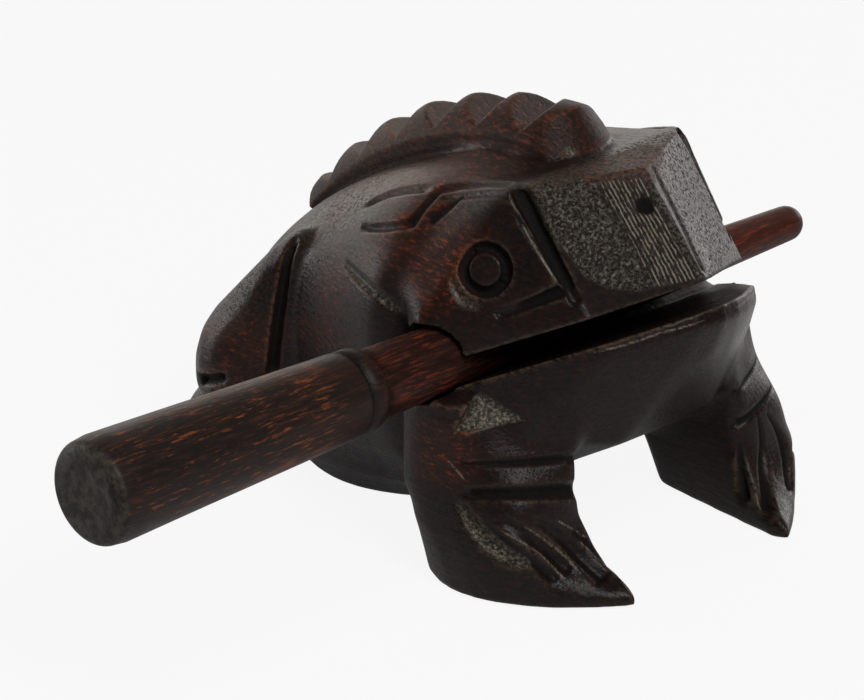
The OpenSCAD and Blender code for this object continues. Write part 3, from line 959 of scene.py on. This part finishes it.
def nose_skin(n):
    """The pebbles and the rasp's lines on the nose's right half, from 0 in a pit to 1 on a grain."""
    pebbles = n.ramp(n.noise((1900, 1900, 1900), 4, 0.7, (1, 5, 3)), 0.36, 0.62)
    coords = n.add("ShaderNodeTexCoord")
    wave = n.add("ShaderNodeTexWave", wave_type="BANDS", bands_direction="X")
    wave.inputs["Scale"].default_value = 540
    wave.inputs["Distortion"].default_value = 2.2
    wave.inputs["Detail"].default_value = 3
    wave.inputs["Detail Scale"].default_value = 1.4
    n.join(coords.outputs["Object"], wave.inputs["Vector"])
    broken = n.blend(n.ramp(n.noise((1100, 700, 700), 3, 0.6, (2, 8, 6)), 0.36, 0.56), 0.55, 1.0)
    lines = n.math("MULTIPLY", n.math("MULTIPLY", wave.outputs["Fac"], n.attribute("rasp")), broken)
    between = n.blend(n.attribute("rasp"), 1.0, 0.45)
    pebbles = n.math("MULTIPLY", n.math("MULTIPLY", pebbles, n.attribute("pebble")), between)
    return pebbles, lines


def nose_colour(n, colour):
    """Pits stay dark, and the grains and the edges of the lines are rubbed pale, with painted glints."""
    pebbles, lines = nose_skin(n)
    colour = n.mix(n.math("MULTIPLY", n.ramp(pebbles, 0.15, 1.0), 0.85), colour, PEBBLE_GLINT)
    return n.mix(n.math("MULTIPLY", n.ramp(lines, 0.45, 0.90), 0.85), colour, RASP_GLINT)


def nose_marks(n, before):
    """The relief of the nose's skin."""
    pebbles, lines = nose_skin(n)
    return n.bump(lines, 0.08, n.bump(pebbles, 0.14, before))


def stick_wood():
    """The stick's stain, rubbed off in orange streaks along the grain and redder on the neck."""
    n = Nodes(bpy.data.materials.new("stick_wood"))
    broad = n.noise((28, 70, 70), 2)
    grain = n.noise((150, 1900, 1900), 4)
    fleck = n.noise((290, 2100, 2100), 3, 0.62, (5, 1, 4))
    neck = n.attribute("neck")
    colour = n.mix(n.ramp(broad, 0.35, 0.70), STICK_STAIN, STICK_BROWN)
    colour = n.mix(neck, colour, NECK_STAIN)
    colour = n.mix(n.attribute("tip"), colour, TIP_RED_AND_LIT)
    colour = n.mix(n.ramp(grain, 0.46, 0.76), colour, STICK_GRAIN)
    level = n.math("ADD", fleck, n.math("MULTIPLY", broad, 0.45))
    streak = n.math("MULTIPLY", n.ramp(level, 0.74, 0.94), n.blend(n.attribute("shoulder"), 0.8, 0.15))
    colour = n.mix(streak, colour, n.mix(neck, STREAK_ORANGE, STREAK_RED))
    mottle = n.ramp(n.noise((600, 600, 600), 5, 0.7, (2, 3, 9)), 0.36, 0.66)
    colour = n.mix(n.attribute("end"), colour, n.mix(mottle, END_DARK, END_PALE))
    colour = n.mix(n.math("MULTIPLY", n.attribute("shoulder"), 0.6), colour, BAND_DARK)
    # Painted shade in the groove
    colour = n.mix(n.attribute("cut"), colour, GROOVE_SHADE)
    n.join(colour, n.shader.inputs["Base Color"])
    n.join(n.blend(n.ramp(grain, 0.3, 0.7), 0.40, 0.52), n.shader.inputs["Roughness"])
    n.shader.inputs["Specular IOR Level"].default_value = WOOD_SPECULAR
    normal = n.bump(grain, 0.06)
    n.join(n.bump(fleck, 0.05, normal), n.shader.inputs["Normal"])
    return n.owner


def paper():
    """The pale floor, nearly white to the camera and faint in reflections, with the frog's shadow."""
    n = Nodes(bpy.data.materials.new("paper"))
    n.shader.inputs["Base Color"].default_value = FLOOR_GREY
    n.shader.inputs["Roughness"].default_value = 0.9
    glow = n.add("ShaderNodeEmission")
    path = n.add("ShaderNodeLightPath")
    mirrored = n.math("MAXIMUM", path.outputs["Is Glossy Ray"], path.outputs["Is Transmission Ray"])
    camera = n.math("MULTIPLY", path.outputs["Is Camera Ray"], FLOOR_SEEN)
    seen = n.math("MAXIMUM", camera, n.math("MULTIPLY", mirrored, FLOOR_MIRRORED))
    mixed = n.add("ShaderNodeMixShader")
    n.join(seen, mixed.inputs["Fac"])
    n.join(n.shader.outputs["BSDF"], mixed.inputs[1])
    n.join(glow.outputs["Emission"], mixed.inputs[2])
    n.join(mixed.outputs["Shader"], n.tree.nodes["Material Output"].inputs["Surface"])
    return n.owner


# Stage, lights and camera

def make_floor():
    """A flat floor, which is no part of the frog."""
    half = FLOOR_HALF
    corners = [(-half, -half, 0), (half, -half, 0), (half, half, 0), (-half, half, 0)]
    mesh = bpy.data.meshes.new("floor")
    mesh.from_pydata(corners, [], [(0, 1, 2, 3)])
    floor = add_object("floor", mesh)
    floor.data.materials.append(paper())


def make_world():
    """A dim room with a warm white wall low behind the frog and on its left."""
    n = Nodes(bpy.data.worlds.new("studio"))
    bpy.context.scene.world = n.owner
    coords = n.add("ShaderNodeTexCoord")
    toward_wall = n.add("ShaderNodeVectorMath", operation="DOT_PRODUCT")
    toward_wall.inputs[1].default_value = WALL_WAY
    split = n.add("ShaderNodeSeparateXYZ")
    n.join(coords.outputs["Generated"], toward_wall.inputs[0])
    n.join(coords.outputs["Generated"], split.inputs["Vector"])
    across = n.blend(n.ramp(toward_wall.outputs["Value"], 0.1, 0.98), ROOM_LEVEL, WALL_LEVEL)
    height = n.blend(n.ramp(split.outputs["Z"], 0.08, 0.38), 1.0, OVER_WALL)
    n.join(n.math("MULTIPLY", across, height), n.shader.inputs["Strength"])
    n.shader.inputs["Color"].default_value = ROOM_COLOUR


def make_lamp(name, place, size, power, mirrored):
    """A round soft lamp that shines on the frog, and shows in its sheen if it is mirrored."""
    lamp = bpy.data.lights.new(name, "AREA")
    lamp.shape = "DISK"
    lamp.size = size
    lamp.energy = power
    holder = add_object(name, lamp)
    holder.location = place
    holder.visible_glossy = mirrored
    holder.rotation_euler = (Vector(LAMP_AIM) - Vector(place)).to_track_quat("-Z", "Y").to_euler()


def make_camera():
    """The photograph's camera."""
    camera = bpy.data.cameras.new("camera")
    camera.sensor_fit = "HORIZONTAL"
    camera.sensor_width = SENSOR_W
    camera.lens = SENSOR_W * FOCAL_PX / PHOTO_W
    camera.clip_end = 20
    azimuth = math.radians(CAMERA_AZIMUTH)
    elevation = math.radians(CAMERA_ELEVATION)
    toward = Vector((
        math.sin(azimuth) * math.cos(elevation),
        -math.cos(azimuth) * math.cos(elevation),
        math.sin(elevation),
    ))
    holder = add_object("camera", camera)
    holder.location = Vector(CAMERA_AIM) * MM + CAMERA_AWAY * toward
    holder.rotation_euler = (-toward).to_track_quat("-Z", "Y").to_euler()
    bpy.context.scene.camera = holder


def dress(piece, material, body, node):
    """Gives a piece its material, puts it under its body, and hides the CAD node that it stands for."""
    piece.data.materials.append(material)
    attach(piece, body)
    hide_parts(node)


def main():
    """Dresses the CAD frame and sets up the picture."""
    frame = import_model()
    dress(make_frog(frame["nodes"]["frog_body"]), frog_wood(), "frog", "frog_body")
    dress(make_stick(*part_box("scraper_stick")), stick_wood(), "stick", "scraper_stick")
    make_floor()
    make_world()
    for lamp in LAMPS:
        make_lamp(*lamp)
    make_camera()
    bpy.context.scene.view_settings.view_transform = "Standard"


main()
